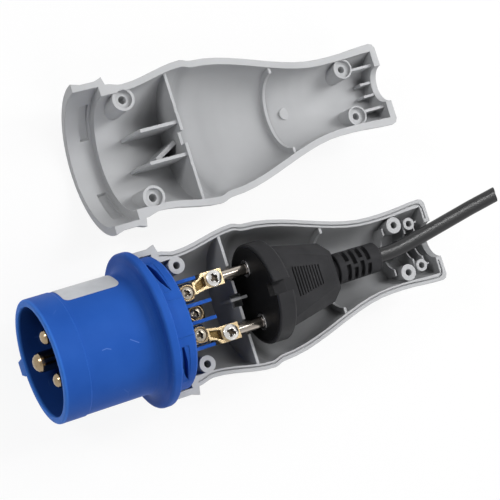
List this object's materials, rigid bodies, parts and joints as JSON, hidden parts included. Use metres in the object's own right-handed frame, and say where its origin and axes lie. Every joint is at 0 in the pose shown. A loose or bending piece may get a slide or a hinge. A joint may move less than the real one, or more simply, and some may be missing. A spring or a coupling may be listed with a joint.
{
  "type": "plug adapter",
  "caption": "Opened plug adapter: round blue industrial plug front and a moulded black plug joined by brass links in a grey clamshell housing, with the cover half lying beside it.",
  "frame": {"origin": "on the axis of the plug front, in the plane of the flange's front rim edge", "axes": "+X along the plug axis from the nose to the cord, +Z out of the open base half, square to the parting face, +Y towards the cover half that lies beside it"},
  "size_m": [0.1835, 0.1124, 0.0536],
  "materials": {
    "housing": "satin light grey",
    "connector_plastic": "semi-gloss blue",
    "contact_brass": "bright turned",
    "link_brass": "pressed",
    "screw_steel": "nickel plated",
    "pin_nickel": "nickel plated",
    "plug_black": "matte black, fine grain",
    "bridge_black": "smooth black",
    "cord_black": "soft sheath with a slight shine"
  },
  "bodies": {
    "housing": {"base_shell": "housing", "cover_shell": "housing", "connector_body": "connector_plastic", "contact_line": "contact_brass", "contact_neutral": "contact_brass", "contact_earth": "contact_brass", "link_line": "link_brass", "link_neutral": "link_brass", "plug_body": "plug_black", "plug_bridge": "bridge_black", "plug_pin_line": "pin_nickel", "plug_pin_neutral": "pin_nickel", "cord": "cord_black"},
    "terminal_screw_line": {"terminal_screw_line": "screw_steel"},
    "terminal_screw_neutral": {"terminal_screw_neutral": "screw_steel"},
    "terminal_screw_earth": {"terminal_screw_earth": "screw_steel"},
    "clamp_screw_line": {"clamp_screw_line": "screw_steel"},
    "clamp_screw_neutral": {"clamp_screw_neutral": "screw_steel"}
  },
  "joints": [
    {"name": "terminal_screw_line_travel", "type": "slide", "parent": "housing", "child": "terminal_screw_line", "axis": [0, 0, 1], "range_m": [0, 0.0025]},
    {"name": "terminal_screw_neutral_travel", "type": "slide", "parent": "housing", "child": "terminal_screw_neutral", "axis": [0, 0, 1], "range_m": [0, 0.0025]},
    {"name": "terminal_screw_earth_travel", "type": "slide", "parent": "housing", "child": "terminal_screw_earth", "axis": [0, 0, 1], "range_m": [0, 0.0025]},
    {"name": "clamp_screw_line_travel", "type": "slide", "parent": "housing", "child": "clamp_screw_line", "axis": [0, 0, 1], "range_m": [0, 0.0028]},
    {"name": "clamp_screw_neutral_travel", "type": "slide", "parent": "housing", "child": "clamp_screw_neutral", "axis": [0, 0, 1], "range_m": [0, 0.0028]}
  ]
}
